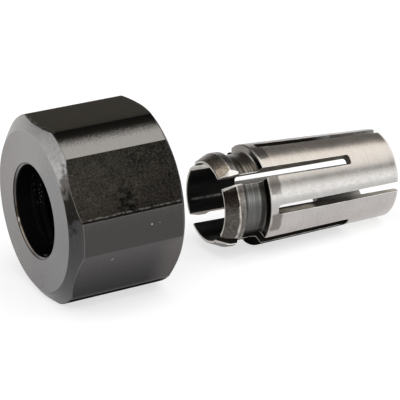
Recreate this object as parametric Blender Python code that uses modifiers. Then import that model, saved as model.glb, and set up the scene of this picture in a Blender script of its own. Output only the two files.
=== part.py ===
"""A router collet and its clamping nut, lying one behind the other on a table.

Metres, +Z up. +X runs along the nut's axis, from its outer face towards the collet.
The origin is on the table, under the middle of the pair.

Each piece is turned about its own local Z, with its outer face at z = 0 and the rest
of it below, and is then laid down with local X pointing up.
"""

import math

import bmesh
import bpy
from mathutils import Matrix, Vector

MM = 0.001

# Collet, bore and walls
COLLET_LENGTH = 20.8 * MM
COLLET_BORE = 8.0 * MM
BORE_CHAMFER = 0.1 * MM
NOSE_WALL = 0.36 * MM
NECK_WALL = 0.48 * MM
BODY_WALL = 1.35 * MM
TAIL_WALL = 0.775 * MM
TAIL_RADIUS = 0.38 * MM

# Collet, snap head and shoulder
HEAD_SNAP = 0.31 * MM
HEAD_BEVEL_LENGTH = 1.34 * MM
HEAD_LAND_LENGTH = 0.81 * MM
HEAD_BACK_LENGTH = 0.28 * MM
NECK_FILLET = 0.3 * MM
SHOULDER_ANGLE = math.radians(22.0)
SHOULDER_EDGE = 0.12 * MM

# Collet, slots: each blade cuts two opposite slots, and the two ends take turns
BLADES_PER_END = 2
NOSE_SLOT_WIDTH = 1.15 * MM
TAIL_SLOT_WIDTH = 1.0 * MM
SLOT_CORNER = 0.2 * MM
TAIL_BRIDGE = 5.6 * MM
SHOULDER_BRIDGE = 0.93 * MM

# Nut, outside: a turned blank with six flats
ACROSS_FLATS = 18.0 * MM
FLAT_DEPTH = 0.55 * MM
NUT_LENGTH = 12.15 * MM
NUT_CHAMFER_ANGLE = math.radians(35.0)
FRONT_CHAMFER_WIDTH = 1.41 * MM
REAR_CHAMFER_WIDTH = 0.7 * MM

# Nut, inside: a lip that snaps into the collet's neck, a seat, a relief and the thread
LIP_LENGTH = 1.7 * MM
LIP_CHAMFER = 0.27 * MM
THREAD_PITCH = 1.0 * MM
RELIEF_CLEARANCE = 0.15 * MM
RELIEF_LENGTH = 1.1 * MM

# Fits: lip round neck, lip along neck, and the spindle's wall between collet and thread
NECK_CLEARANCE = 0.17 * MM
NECK_END_CLEARANCE = 0.14 * MM
SPINDLE_WALL = 1.65 * MM

# How the pair lies on the table
SPACING = 7.6 * MM
COLLET_SIDESTEP = 0.83 * MM
COLLET_YAW = math.radians(-0.6)

# Facets
NUT_STEPS = 96
COLLET_STEPS = 96
ROUND_STEPS = 4
SLOT_CORNER_STEPS = 3
SHARP_ANGLE = math.radians(12.0)
OVERSHOOT = 1.0 * MM

# Sizes that follow from those above
NOSE_DIAMETER = COLLET_BORE + 2 * NOSE_WALL
NECK_DIAMETER = COLLET_BORE + 2 * NECK_WALL
BODY_DIAMETER = COLLET_BORE + 2 * BODY_WALL
TAIL_DIAMETER = COLLET_BORE + 2 * TAIL_WALL
LIP_BORE = NECK_DIAMETER + 2 * NECK_CLEARANCE
HEAD_DIAMETER = LIP_BORE + 2 * HEAD_SNAP
NUT_DIAMETER = ACROSS_FLATS + 2 * FLAT_DEPTH
THREAD_DIAMETER = BODY_DIAMETER + 2 * SPINDLE_WALL
THREAD_MINOR_DIAMETER = THREAD_DIAMETER - 1.0825 * THREAD_PITCH
HEAD_END = HEAD_BEVEL_LENGTH + HEAD_LAND_LENGTH + HEAD_BACK_LENGTH
LIP_END = LIP_CHAMFER + LIP_LENGTH
SHOULDER_START = HEAD_END + LIP_END + NECK_END_CLEARANCE
SHOULDER_HEIGHT = (BODY_DIAMETER - NECK_DIAMETER) / 2 - NECK_FILLET
BODY_START = SHOULDER_START + SHOULDER_HEIGHT * math.tan(SHOULDER_ANGLE)

LAY_DOWN = Matrix.Rotation(math.radians(-90.0), 4, "Y")


def arc(centre, radius, start, end):
    """Points on a circle arc in the profile plane, from one angle to the other."""
    angles = [start + (end - start) * i / ROUND_STEPS for i in range(ROUND_STEPS + 1)]
    return [(centre[0] + radius * math.cos(a), centre[1] + radius * math.sin(a)) for a in angles]


def nut_profile():
    """(radius, distance from the outer face) round the nut's section, outside first."""
    outer = NUT_DIAMETER / 2
    slope = math.tan(NUT_CHAMFER_ANGLE)
    lip = LIP_BORE / 2
    seat = BODY_DIAMETER / 2 + NECK_CLEARANCE
    minor = THREAD_MINOR_DIAMETER / 2
    relief = THREAD_DIAMETER / 2 + RELIEF_CLEARANCE
    lead_in = relief - minor
    seat_end = LIP_END + (seat - lip) * math.tan(SHOULDER_ANGLE)
    relief_end = seat_end + RELIEF_LENGTH
    return [
        (outer - FRONT_CHAMFER_WIDTH, 0.0),
        (outer, FRONT_CHAMFER_WIDTH * slope),
        (outer, NUT_LENGTH - REAR_CHAMFER_WIDTH * slope),
        (outer - REAR_CHAMFER_WIDTH, NUT_LENGTH),
        (relief, NUT_LENGTH),
        (minor, NUT_LENGTH - lead_in),
        (minor, relief_end + lead_in),
        (relief, relief_end),
        (relief, seat_end),
        (seat, seat_end),
        (lip, LIP_END),
        (lip, LIP_CHAMFER),
        (lip + LIP_CHAMFER, 0.0),
    ]


def collet_profile():
    """(radius, distance from the nose) round the collet's section, outside first."""
    bore = COLLET_BORE / 2
    head = HEAD_DIAMETER / 2
    neck = NECK_DIAMETER / 2
    body = BODY_DIAMETER / 2
    fillet_centre = (neck + NECK_FILLET, SHOULDER_START - NECK_FILLET)
    tail_centre = (TAIL_DIAMETER / 2 - TAIL_RADIUS, COLLET_LENGTH - TAIL_RADIUS)
    return [
        (NOSE_DIAMETER / 2, 0.0),
        (head, HEAD_BEVEL_LENGTH),
        (head, HEAD_BEVEL_LENGTH + HEAD_LAND_LENGTH),
        (neck, HEAD_END),
        *arc(fillet_centre, NECK_FILLET, math.pi, math.pi / 2),
        (body - SHOULDER_EDGE, BODY_START),
        (body, BODY_START + SHOULDER_EDGE),
        *arc(tail_centre, TAIL_RADIUS, 0.0, math.pi / 2),
        (bore + BORE_CHAMFER, COLLET_LENGTH),
        (bore, COLLET_LENGTH - BORE_CHAMFER),
        (bore, BORE_CHAMFER),
        (bore + BORE_CHAMFER, 0.0),
    ]


def new_collection(name):
    """Make a collection in the scene."""
    collection = bpy.data.collections.new(name)
    bpy.context.scene.collection.children.link(collection)
    return collection


def new_object(name, mesh, collection):
    """Make an object from a mesh and put it in a collection."""
    obj = bpy.data.objects.new(name, mesh)
    collection.objects.link(obj)
    return obj


def turned(name, profile, steps, collection):
    """Revolve a closed (radius, depth) profile about local Z."""
    mesh = bpy.data.meshes.new(name)
    points = [(radius, 0.0, -depth) for radius, depth in profile]
    edges = [(i, (i + 1) % len(points)) for i in range(len(points))]
    mesh.from_pydata(points, edges, [])
    obj = new_object(name, mesh, collection)
    screw = obj.modifiers.new("turn", "SCREW")
    screw.axis = "Z"
    screw.angle = 2 * math.pi
    screw.steps = steps
    screw.render_steps = steps
    screw.use_merge_vertices = True
    screw.merge_threshold = 0.000001
    return obj


def cutter(name, mesh, collection):
    """Make an object that only cuts or trims another."""
    obj = new_object(name, mesh, collection)
    obj.hide_render = True
    obj.display_type = "WIRE"
    return obj


def boolean(obj, tool, operation):
    """Cut or trim an object with a tool."""
    modifier = obj.modifiers.new(tool.name, "BOOLEAN")
    modifier.operation = operation
    modifier.solver = "EXACT"
    modifier.object = tool


def hexagon_bar(name, collection):
    """The hexagon that leaves six wrench flats on the turned blank, one facing +X."""
    mesh = bpy.data.meshes.new(name)
    bm = bmesh.new()
    corner_radius = ACROSS_FLATS / 2 / math.cos(math.pi / 6)
    bmesh.ops.create_cone(
        bm,
        cap_ends=True,
        segments=6,
        radius1=corner_radius,
        radius2=corner_radius,
        depth=NUT_LENGTH + 2 * OVERSHOOT,
        matrix=Matrix.Translation((0.0, 0.0, -NUT_LENGTH / 2)),
    )
    bm.to_mesh(mesh)
    bm.free()
    return cutter(name, mesh, collection)


def slot_blade(name, width, open_end, closed_end, angle, collection):
    """A blade through the whole diameter, between two depths, rounded at its closed end."""
    mesh = bpy.data.meshes.new(name)
    bm = bmesh.new()
    size = (BODY_DIAMETER + 2 * OVERSHOOT, width, abs(closed_end - open_end))
    middle = Matrix.Translation((0.0, 0.0, -(open_end + closed_end) / 2))
    bmesh.ops.create_cube(bm, size=1.0, matrix=middle @ Matrix.Diagonal((*size, 1.0)))
    closed_face = [v for v in bm.verts if abs(v.co.z + closed_end) < SLOT_CORNER / 10]
    corners = [
        edge
        for edge in bm.edges
        if all(v in closed_face for v in edge.verts)
        and edge.verts[0].co.y * edge.verts[1].co.y > 0.0
    ]
    bmesh.ops.bevel(
        bm,
        geom=corners,
        offset=SLOT_CORNER,
        segments=SLOT_CORNER_STEPS,
        profile=0.5,
        affect="EDGES",
    )
    bmesh.ops.rotate(bm, verts=bm.verts, matrix=Matrix.Rotation(angle, 3, "Z"))
    bm.to_mesh(mesh)
    bm.free()
    return cutter(name, mesh, collection)


def slot_blades(collection):
    """The blades of both ends, each end's set turned half a step from the other's."""
    blades = []
    step = math.pi / BLADES_PER_END
    nose_closed = COLLET_LENGTH - TAIL_BRIDGE
    tail_closed = BODY_START + SHOULDER_BRIDGE
    tail_open = COLLET_LENGTH + OVERSHOOT
    for i in range(BLADES_PER_END):
        nose = ("nose_slots_%d" % i, NOSE_SLOT_WIDTH, -OVERSHOOT, nose_closed, step * (i + 0.5))
        tail = ("tail_slots_%d" % i, TAIL_SLOT_WIDTH, tail_open, tail_closed, step * i)
        blades.append(slot_blade(*nose, collection))
        blades.append(slot_blade(*tail, collection))
    return blades


def apply_modifiers(obj):
    """Keep the modelled result as the mesh, smooth between its real edges."""
    evaluated = obj.evaluated_get(bpy.context.evaluated_depsgraph_get())
    mesh = bpy.data.meshes.new_from_object(evaluated)
    mesh.name = obj.name
    obj.modifiers.clear()
    obj.data = mesh
    mesh.shade_smooth()
    mesh.set_sharp_from_angle(angle=SHARP_ANGLE)


def finish_material(obj, name, colour, roughness, metallic):
    """Give a piece its own Principled material."""
    material = bpy.data.materials.new(name)
    material.use_nodes = True
    shader = material.node_tree.nodes["Principled BSDF"]
    shader.inputs["Base Color"].default_value = (*colour, 1.0)
    shader.inputs["Roughness"].default_value = roughness
    shader.inputs["Metallic"].default_value = metallic
    obj.data.materials.clear()
    obj.data.materials.append(material)


def build_nut(parts, cutters):
    """The clamping nut, lying on one of its flats."""
    nut = turned("collet_nut", nut_profile(), NUT_STEPS, parts)
    boolean(nut, hexagon_bar("hexagon", cutters), "INTERSECT")
    apply_modifiers(nut)
    finish_material(nut, "black_oxide_steel", (0.035, 0.034, 0.033), 0.38, 0.85)
    nut.matrix_world = Matrix.Translation((0.0, 0.0, ACROSS_FLATS / 2)) @ LAY_DOWN
    return nut


def collet_rest():
    """Tilt and nose height of the collet lying on its shoulder and its tail slot's edges."""
    front = BODY_DIAMETER / 2
    front_station = BODY_START + SHOULDER_EDGE
    rear = math.sqrt((TAIL_DIAMETER / 2) ** 2 - (TAIL_SLOT_WIDTH / 2) ** 2)
    rear_station = COLLET_LENGTH - TAIL_RADIUS
    tilt = math.atan((front - rear) / (rear_station - front_station))
    height = front * math.cos(tilt) + front_station * math.sin(tilt)
    return tilt, height


def build_collet(parts, cutters):
    """The slotted collet, lying behind the nut with its nose towards it."""
    collet = turned("collet", collet_profile(), COLLET_STEPS, parts)
    for blade in slot_blades(cutters):
        boolean(collet, blade, "DIFFERENCE")
    apply_modifiers(collet)
    finish_material(collet, "ground_steel", (0.62, 0.59, 0.56), 0.3, 1.0)
    tilt, height = collet_rest()
    nose = Matrix.Translation((NUT_LENGTH + SPACING, COLLET_SIDESTEP, height))
    aim = Matrix.Rotation(COLLET_YAW, 4, "Z") @ Matrix.Rotation(tilt, 4, "Y")
    collet.matrix_world = nose @ aim @ LAY_DOWN
    return collet


def centre_over_origin(pieces):
    """Slide the pair along the table until its box is centred on the origin."""
    corners = [piece.matrix_world @ vertex.co for piece in pieces for vertex in piece.data.vertices]
    middle = [(min(c[i] for c in corners) + max(c[i] for c in corners)) / 2 for i in (0, 1)]
    slide = Matrix.Translation(Vector((-middle[0], -middle[1], 0.0)))
    for piece in pieces:
        piece.matrix_world = slide @ piece.matrix_world


def main():
    for obj in list(bpy.data.objects):
        bpy.data.objects.remove(obj, do_unlink=True)
    parts = new_collection("collet_with_nut")
    cutters = new_collection("cutters")
    centre_over_origin([build_nut(parts, cutters), build_collet(parts, cutters)])


main()
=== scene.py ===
"""Looks of a router collet and its clamping nut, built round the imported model.

Both pieces are rebuilt at the model's sizes, with broken edges, a cut thread, turned rings
and filed slot edges. Lengths are metres in the model's frame, and the points of a section
are (radius, depth). Finishes work in millimetres and degrees on each piece's own axis.
"""

import math
from collections import namedtuple

import bpy
from mathutils import Matrix, Vector, noise


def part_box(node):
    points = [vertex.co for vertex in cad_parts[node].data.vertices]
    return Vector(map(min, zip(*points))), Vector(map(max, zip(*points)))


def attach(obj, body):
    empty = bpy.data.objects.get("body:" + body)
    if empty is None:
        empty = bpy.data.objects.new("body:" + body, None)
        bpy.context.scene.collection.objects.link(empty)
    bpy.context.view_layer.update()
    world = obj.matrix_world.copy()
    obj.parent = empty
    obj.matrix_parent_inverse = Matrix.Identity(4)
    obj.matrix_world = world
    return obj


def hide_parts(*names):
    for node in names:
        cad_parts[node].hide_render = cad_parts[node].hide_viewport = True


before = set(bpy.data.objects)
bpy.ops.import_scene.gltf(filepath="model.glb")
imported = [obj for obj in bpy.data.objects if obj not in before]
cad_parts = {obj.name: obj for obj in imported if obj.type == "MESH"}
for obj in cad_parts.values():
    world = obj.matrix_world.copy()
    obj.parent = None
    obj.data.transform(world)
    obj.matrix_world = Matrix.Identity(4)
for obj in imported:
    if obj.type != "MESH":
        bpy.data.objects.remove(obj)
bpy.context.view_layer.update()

MM = 0.001

# Nut, as in the model
ACROSS_FLATS = 18.0 * MM
NUT_DIAMETER = 19.1 * MM
NUT_LENGTH = 12.15 * MM
NUT_CHAMFER_SLOPE = math.tan(math.radians(35.0))
FRONT_CHAMFER_WIDTH = 1.41 * MM
REAR_CHAMFER_WIDTH = 0.7 * MM
LIP_BORE = 9.3 * MM
LIP_CHAMFER = 0.27 * MM
LIP_END = 1.97 * MM
SEAT_DIAMETER = 11.04 * MM
SEAT_END = 2.32 * MM
THREAD_DIAMETER = 14.0 * MM
THREAD_MINOR_DIAMETER = 12.93 * MM
THREAD_PITCH = 1.0 * MM
RELIEF_DIAMETER = 14.3 * MM
RELIEF_END = 3.42 * MM

# Nut's broken edges, the outer ones worn unevenly, and its thread
OUTER_BREAK = 0.07 * MM
WEAR_SHARE = 0.6
WEAR_WAVES = 9.0
FACE_BREAK_SHARE = 0.4
INNER_BREAK = 0.05 * MM
THREAD_BREAK = 0.04 * MM
RELIEF_BREAK = 0.08 * MM
LAND_BLEND = 0.02 * MM
THREAD_SINK = 0.05 * MM
THREAD_CLEAR_PITCHES = 0.6
THREAD_RISE_TURNS = 0.25

# Collet, as in the model
COLLET_LENGTH = 20.8 * MM
COLLET_BORE = 8.0 * MM
BORE_CHAMFER = 0.1 * MM
NOSE_DIAMETER = 8.72 * MM
HEAD_DIAMETER = 9.92 * MM
LAND_START = 1.34 * MM
LAND_END = 2.15 * MM
HEAD_END = 2.43 * MM
NECK_DIAMETER = 8.96 * MM
NECK_FILLET = 0.3 * MM
SHOULDER_START = 4.54 * MM
BODY_START = 4.77 * MM
SHOULDER_EDGE = 0.12 * MM
BODY_DIAMETER = 10.7 * MM
TAIL_DIAMETER = 9.55 * MM
TAIL_RADIUS = 0.38 * MM
NOSE_SLOT_WIDTH = 1.15 * MM
TAIL_SLOT_WIDTH = 1.0 * MM
TAIL_SLOT_END = 5.7 * MM

# Collet, a little off the model's 15.2, 0.2 and 0.38 mm, to sit closer to the photograph
NOSE_SLOT_END = 15.3 * MM
SLOT_CORNER = 0.3 * MM
TAIL_EDGE = 0.22 * MM

# Collet's broken edges and the turning rings in its neck
NOSE_BREAK = 0.06 * MM
BEVEL_BREAK = 0.1 * MM
LAND_BREAK = 0.12 * MM
NECK_BREAK = 0.06 * MM
SHOULDER_BREAK = 0.04 * MM
SLOT_BREAK = 0.028 * MM
SLOT_BREAK_CHANGE = 0.9
RING_DEPTH = 0.014 * MM
RINGS_PER_MM = 8.0
RING_MARGIN = 0.1 * MM

# How the pair lies
SPACING = 7.6 * MM
COLLET_SIDESTEP = 0.83 * MM
COLLET_YAW = math.radians(-0.6)

# Camera, from the middle of the nut's outer edge on the floor
CAMERA_OFFSET = Vector((-71.55, -165.79, 82.91)) * MM
CAMERA_AIM = Vector((0.44285, 0.81388, -0.37615))
CAMERA_RIGHT = Vector((0.87523, -0.48346, -0.01565))
CAMERA_LENS = 178.2
CAMERA_SENSOR = 36.0
CAMERA_CLIP = 0.01

# Setting
FLOOR_Z = -0.01 * MM
FLOOR_GLOW = 0.65
BACKDROP_RADIUS = 1.5
BACKDROP_HEIGHT = 0.48
BACKDROP_SIDES = 64
BACKDROP_GLOW = 0.8
MATT_TONE = 0.5
MATT_ROUGHNESS = 0.9
ROOM_LEVEL = 0.19

# Soft lights: name, middle, turn from facing down, turn round Z, width, height and
# brightness as seen in a mirror
SOFTBOXES = (
    ("overhead", (0.15, -0.18, 0.4), 0.0, 0.0, 0.9, 0.58, 1.4),
    ("front_card", (0.1, -0.6, 0.175), 90.0, 0.0, 1.2, 0.35, 0.95),
    ("left_card", (-0.55, 0.1, 0.25), 90.0, -90.0, 1.0, 0.5, 1.0),
)

# Fineness of the meshes
EDGE_STEPS = 4
THREAD_STEPS = 96
CORNER_STEPS = 3
SHARP_ANGLE = math.radians(28.0)
SLACK = 0.001 * MM


def rounded_section(corners):
    """Points of a section whose corners are (radius, depth, length taken off each side)."""
    points = []
    for i, (radius, depth, size) in enumerate(corners):
        here = Vector((radius, depth))
        if size == 0.0:
            points.append(here)
            continue
        before = Vector(corners[i - 1][:2])
        after = Vector(corners[(i + 1) % len(corners)][:2])
        start = here + (before - here).normalized() * size
        end = here + (after - here).normalized() * size
        for k in range(EDGE_STEPS + 1):
            t = k / EDGE_STEPS
            points.append(start.lerp(here, t).lerp(here.lerp(end, t), t))
    return points


def ramp(value, low, high):
    """0 below low, 1 above high, straight between them."""
    return min(max((value - low) / (high - low), 0.0), 1.0)


def piecewise(value, stations):
    """Value of a curve through (place, height) stations."""
    for (x0, y0), (x1, y1) in zip(stations, stations[1:]):
        if value <= x1:
            return y0 + (y1 - y0) * ramp(value, x0, x1)
    return stations[-1][1]


def on_axis(radius, angle, depth):
    """A point round the local X axis; angle 0 is up and 90 degrees faces the viewer."""
    return Vector((depth, -radius * math.sin(angle), radius * math.cos(angle)))


def add_object(name, data):
    """A new object in the scene."""
    thing = bpy.data.objects.new(name, data)
    bpy.context.scene.collection.objects.link(thing)
    return thing


def new_piece(name, points, faces, kinds, materials, place):
    """A mesh piece, its own coordinates in millimetres kept for its finish."""
    mesh = bpy.data.meshes.new(name)
    mesh.from_pydata([place @ p for p in points], [], faces)
    for material in materials:
        mesh.materials.append(material)
    mesh.polygons.foreach_set("material_index", kinds)
    local = mesh.attributes.new("local_mm", "FLOAT_VECTOR", "POINT")
    local.data.foreach_set("vector", [c / MM for p in points for c in p])
    mesh.shade_smooth()
    mesh.set_sharp_from_angle(angle=SHARP_ANGLE)
    mesh.validate()
    piece = add_object(name, mesh)
    weighted = piece.modifiers.new("even_normals", "WEIGHTED_NORMAL")
    weighted.keep_sharp = True
    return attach(piece, "root")


def add_values(piece, name, values):
    """Keep one number for each point of a piece, for its finish to read."""
    attribute = piece.data.attributes.new(name, "FLOAT", "POINT")
    attribute.data.foreach_set("value", values)


# Nut

SECTOR_COUNT = 6
SECTOR = math.radians(60.0)
FLAT_HALF_ANGLE = math.acos(ACROSS_FLATS / NUT_DIAMETER)
FLAT_COLUMNS = 10
FLAT_SHARE = 0.94
EDGE_COLUMNS = 3
EDGE_COLUMN_STEP = math.radians(0.25)
LAND_COLUMNS = 5
LENGTH_SHARES = (0.03, 0.08, 0.2, 0.35, 0.5, 0.65, 0.8, 0.92, 0.97)
FACE_KIND, CHAMFER_KIND, OXIDE_KIND, INSIDE_KIND, LIP_KIND = range(5)

# Points across the thread's ridge: share of its height, and place in pitches
THREAD_PROFILE = ((0.0, -0.47), (1.0, -0.09), (1.0, 0.09), (0.0, 0.47))


def nut_place():
    """Where the nut lies: on one flat, its outer face at the model's lowest X."""
    return Matrix.Translation((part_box("collet_nut")[0].x, 0.0, ACROSS_FLATS / 2))


def nut_angles():
    """Angles round the nut, close together where each flat meets a land."""
    half = [FLAT_SHARE * FLAT_HALF_ANGLE * i / FLAT_COLUMNS for i in range(FLAT_COLUMNS + 1)]
    half += [FLAT_HALF_ANGLE + EDGE_COLUMN_STEP * i for i in range(-EDGE_COLUMNS, EDGE_COLUMNS + 1)]
    land_start = half[-1]
    land_width = SECTOR / 2 - land_start
    half += [land_start + land_width * i / LAND_COLUMNS for i in range(1, LAND_COLUMNS + 1)]
    sector = [-a for a in reversed(half[1:])] + half[:-1]
    return [SECTOR * k + a for k in range(SECTOR_COUNT) for a in sector]


def angle_from_flat(angle):
    """Angle from the middle of the nearest flat."""
    return (angle + SECTOR / 2) % SECTOR - SECTOR / 2


def soft_min(a, b, width):
    """The smaller of two radii, rounded where they cross."""
    return -width * math.log(math.exp(-a / width) + math.exp(-b / width))


def nut_outer_radius(angle):
    """Radius of the flats and lands at one angle."""
    flat = ACROSS_FLATS / 2 / math.cos(angle_from_flat(angle))
    return soft_min(flat, NUT_DIAMETER / 2, LAND_BLEND)


def chamfer_ends(outer):
    """Depths where the front and rear chamfers meet an outside of this radius."""
    land = NUT_DIAMETER / 2
    front = (outer - land + FRONT_CHAMFER_WIDTH) * NUT_CHAMFER_SLOPE
    rear = NUT_LENGTH - (outer - land + REAR_CHAMFER_WIDTH) * NUT_CHAMFER_SLOPE
    return front, rear


def nut_corners(angle):
    """(corner, kind of the surface that follows it) round the nut's section at one angle."""
    land = NUT_DIAMETER / 2
    outer = nut_outer_radius(angle)
    front, rear = chamfer_ends(outer)
    place = Vector((WEAR_WAVES * math.cos(angle), WEAR_WAVES * math.sin(angle), 0.0))
    edge = OUTER_BREAK * (1.0 + WEAR_SHARE * noise.noise(place))
    lip = LIP_BORE / 2
    root = THREAD_DIAMETER / 2
    relief = RELIEF_DIAMETER / 2
    lead_in = relief - root
    sides = [((outer, front + (rear - front) * t, 0.0), OXIDE_KIND) for t in LENGTH_SHARES]
    return [
        ((land - FRONT_CHAMFER_WIDTH, 0.0, FACE_BREAK_SHARE * edge), CHAMFER_KIND),
        ((outer, front, edge), OXIDE_KIND),
        *sides,
        ((outer, rear, edge), CHAMFER_KIND),
        ((land - REAR_CHAMFER_WIDTH, NUT_LENGTH, edge), FACE_KIND),
        ((relief, NUT_LENGTH, INNER_BREAK), INSIDE_KIND),
        ((root, NUT_LENGTH - lead_in, THREAD_BREAK), INSIDE_KIND),
        ((root, RELIEF_END + lead_in, THREAD_BREAK), INSIDE_KIND),
        ((relief, RELIEF_END, THREAD_BREAK), INSIDE_KIND),
        ((relief, SEAT_END, RELIEF_BREAK), INSIDE_KIND),
        ((SEAT_DIAMETER / 2, SEAT_END, INNER_BREAK), INSIDE_KIND),
        ((lip, LIP_END, INNER_BREAK), INSIDE_KIND),
        ((lip, LIP_CHAMFER, INNER_BREAK), LIP_KIND),
        ((lip + LIP_CHAMFER, 0.0, THREAD_BREAK), FACE_KIND),
    ]


def kinds_of_points(corners):
    """The kind of surface that follows each point of a rounded section."""
    kinds = []
    for (radius, depth, size), kind in corners:
        kinds += [kind] * (EDGE_STEPS + 1 if size else 1)
    return kinds


def build_nut(place, materials):
    """The nut's body: one ring of section points for each angle."""
    points = []
    land_mm = []
    rim_mm = []
    angles = nut_angles()
    for angle in angles:
        section = rounded_section([corner for corner, kind in nut_corners(angle)])
        points += [on_axis(p.x, angle, p.y) for p in section]
        front, rear = chamfer_ends(nut_outer_radius(angle))
        past_flat = (abs(angle_from_flat(angle)) - FLAT_HALF_ANGLE) * NUT_DIAMETER / 2
        land_mm += [past_flat / MM] * len(section)
        rim_mm += [min(p.y - front, rear - p.y) / MM for p in section]
    kinds_round = kinds_of_points(nut_corners(0.0))
    count = len(kinds_round)
    faces = []
    kinds = []
    for i in range(len(angles)):
        this, after = i * count, (i + 1) % len(angles) * count
        for k in range(count):
            n = (k + 1) % count
            faces.append((this + k, after + k, after + n, this + n))
            kinds.append(kinds_round[k])
    nut = new_piece("nut_body", points, faces, kinds, materials, place)
    add_values(nut, "land_mm", land_mm)
    add_values(nut, "rim_mm", rim_mm)
    return nut


def build_thread(place, material):
    """The nut's internal thread: one helical ridge standing on the wall of its bore."""
    root = THREAD_DIAMETER / 2 + THREAD_SINK
    crest = THREAD_MINOR_DIAMETER / 2
    start = RELIEF_END + THREAD_CLEAR_PITCHES * THREAD_PITCH
    end = NUT_LENGTH - THREAD_CLEAR_PITCHES * THREAD_PITCH
    steps = round(THREAD_STEPS * (end - start) / THREAD_PITCH)
    points = []
    for i in range(steps + 1):
        turns = i / THREAD_STEPS
        middle = start + turns * THREAD_PITCH
        from_end = min(i, steps - i) / THREAD_STEPS
        height = (root - crest) * min(1.0, from_end / THREAD_RISE_TURNS)
        for share, along in THREAD_PROFILE:
            angle = 2 * math.pi * turns
            points.append(on_axis(root - height * share, angle, middle + along * THREAD_PITCH))
    count = len(THREAD_PROFILE)
    faces = []
    for i in range(steps):
        for k in range(count):
            n = (k + 1) % count
            faces.append((count * i + k, count * i + n, count * (i + 1) + n, count * (i + 1) + k))
    faces.append(tuple(reversed(range(count))))
    faces.append(tuple(count * steps + k for k in range(count)))
    kinds = [0] * len(faces)
    return new_piece("nut_thread", points, faces, kinds, [material], place)


# Collet

# Slots are counted from the top towards the viewer. A column's share is None on a slot's
# own columns, 0 on the edge break beside it, and otherwise the way to the next edge break
Column = namedtuple("Column", "slot side offset share")
SLOT_STEP = math.radians(45.0)
SLOT_COUNT = 8
FILL_COLUMNS = 18
BEVEL_ROWS = 6
RING_ROWS = 27
RING_ROW_STEP = 0.065 * MM
BODY_ROWS = 14
BODY_ROWS_START = 6.4 * MM
BODY_ROW_STEP = 1.0 * MM
LEAST_ROW_STEP = 0.002 * MM
BODY_KIND, FILED_KIND, WALL_KIND, BORE_KIND, END_KIND = range(5)
CORNER_TURNS = [math.pi / 2 * k / CORNER_STEPS for k in range(CORNER_STEPS + 1)]
CORNER_DEPTHS = [SLOT_CORNER * (1.0 - math.cos(turn)) for turn in CORNER_TURNS]

# Filing of the head beside the nose slots: (depth, width) above and below each slot, the
# full width at one slot and less at the others
UPPER_FILING = (
    (0.0, 0.05 * MM),
    (0.6 * MM, 0.08 * MM),
    (LAND_START, 0.6 * MM),
    (LAND_END, 0.22 * MM),
    (HEAD_END, 0.05 * MM),
)
LOWER_FILING = (
    (0.0, 0.34 * MM),
    (0.7 * MM, 0.26 * MM),
    (LAND_END, 0.14 * MM),
    (HEAD_END, 0.05 * MM),
)
MOST_FILED_SLOT = 1
OTHER_FILING = 0.75
OTHER_FILING_CHANGE = 0.35
DROP_SHARE = 0.6


def collet_place():
    """Where the collet lies: on both ends of its body, tilted by the body's taper."""
    front = BODY_DIAMETER / 2
    front_depth = BODY_START + SHOULDER_EDGE
    rear = math.sqrt((TAIL_DIAMETER / 2) ** 2 - (TAIL_SLOT_WIDTH / 2) ** 2)
    rear_depth = COLLET_LENGTH - TAIL_RADIUS
    tilt = math.atan((front - rear) / (rear_depth - front_depth))
    height = front * math.cos(tilt) + front_depth * math.sin(tilt)
    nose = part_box("collet_nut")[0].x + NUT_LENGTH + SPACING
    moved = Matrix.Translation((nose, COLLET_SIDESTEP, height))
    return moved @ Matrix.Rotation(COLLET_YAW, 4, "Z") @ Matrix.Rotation(tilt, 4, "Y")


def is_nose_slot(slot):
    """Even slots open at the tail, odd ones at the nose."""
    return slot % 2 == 1


def slot_half_width(slot):
    """Half the width of a slot's blade."""
    return (NOSE_SLOT_WIDTH if is_nose_slot(slot) else TAIL_SLOT_WIDTH) / 2


def depth_in_slot(slot, depth):
    """How far a depth lies from the slot's closed end, towards its mouth."""
    return NOSE_SLOT_END - depth if is_nose_slot(slot) else depth - TAIL_SLOT_END


def filed_width(slot, side, depth):
    """Width of the edge break beside a slot: narrow on the body, filed wide on the head."""
    wobble = noise.noise(Vector((depth / MM * 0.9, slot * 5.3, side * 2.7)))
    width = SLOT_BREAK * (1.0 + SLOT_BREAK_CHANGE * wobble)
    if is_nose_slot(slot) and depth < HEAD_END:
        strength = 1.0
        if slot != MOST_FILED_SLOT:
            change = noise.noise(Vector((slot * 3.1, side, 0.5)))
            strength = OTHER_FILING + OTHER_FILING_CHANGE * change
        stations = UPPER_FILING if side < 0 else LOWER_FILING
        width = max(width, strength * piecewise(depth, stations))
    return width


def collet_outline():
    """(depth, radius) of the collet's outside from nose to tail, with its edges rounded."""
    bore = COLLET_BORE / 2 + BORE_CHAMFER
    corners = [
        (NOSE_DIAMETER / 2, 0.0, NOSE_BREAK),
        (HEAD_DIAMETER / 2, LAND_START, BEVEL_BREAK),
        (HEAD_DIAMETER / 2, LAND_END, LAND_BREAK),
        (NECK_DIAMETER / 2, HEAD_END, NECK_BREAK),
        (NECK_DIAMETER / 2, SHOULDER_START, NECK_FILLET),
        (BODY_DIAMETER / 2 - SHOULDER_EDGE, BODY_START, SHOULDER_BREAK),
        (BODY_DIAMETER / 2, BODY_START + SHOULDER_EDGE, SHOULDER_BREAK),
        (TAIL_DIAMETER / 2, COLLET_LENGTH, TAIL_EDGE),
        (bore, COLLET_LENGTH, 0.0),
        (bore, 0.0, 0.0),
    ]
    section = rounded_section(corners)
    return [(point.y, point.x) for point in section[:-2]]


def neck_ring(depth):
    """Depth of the turning rings in the neck."""
    if not HEAD_END + RING_MARGIN < depth < SHOULDER_START - NECK_FILLET:
        return 0.0
    return RING_DEPTH * (0.5 + noise.noise(Vector((depth / MM * RINGS_PER_MM, 0.0, 4.2))))


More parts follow.
